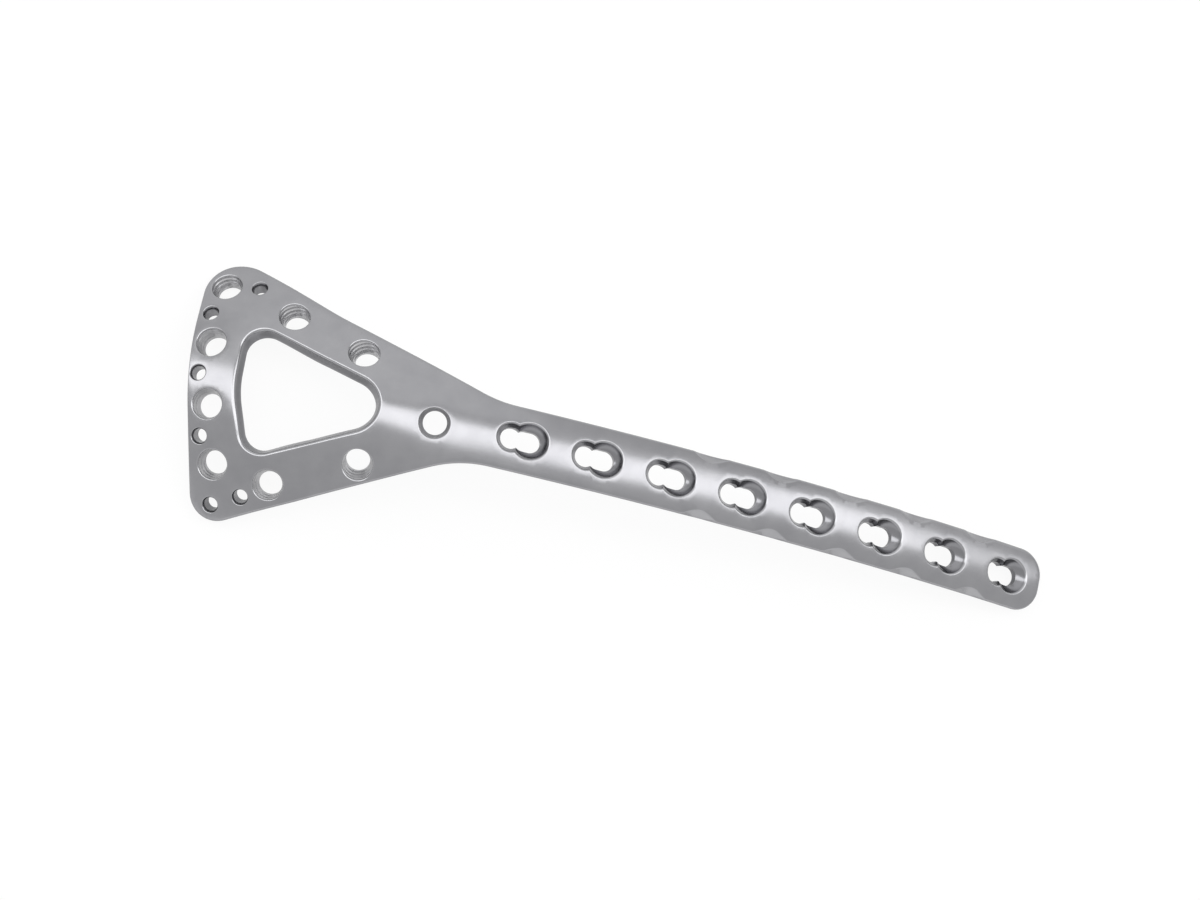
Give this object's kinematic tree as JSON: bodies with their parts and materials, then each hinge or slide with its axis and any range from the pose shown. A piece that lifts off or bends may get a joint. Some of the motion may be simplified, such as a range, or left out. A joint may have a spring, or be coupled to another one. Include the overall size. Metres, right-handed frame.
{
  "type": "distal radius locking plate",
  "caption": "One-piece titanium bone plate with a windowed triangular head and a long shaft of combination holes.",
  "frame": {"origin": "middle of the plate's box at the level that the head corners and the shaft tip rest on", "axes": "+X from the head to the shaft tip, +Z away from the bone side, up as the plate rests"},
  "size_m": [0.1086, 0.0308, 0.014],
  "materials": {
    "titanium": "blasted satin titanium"
  },
  "bodies": {
    "root": {"plate": "titanium"}
  },
  "joints": []
}
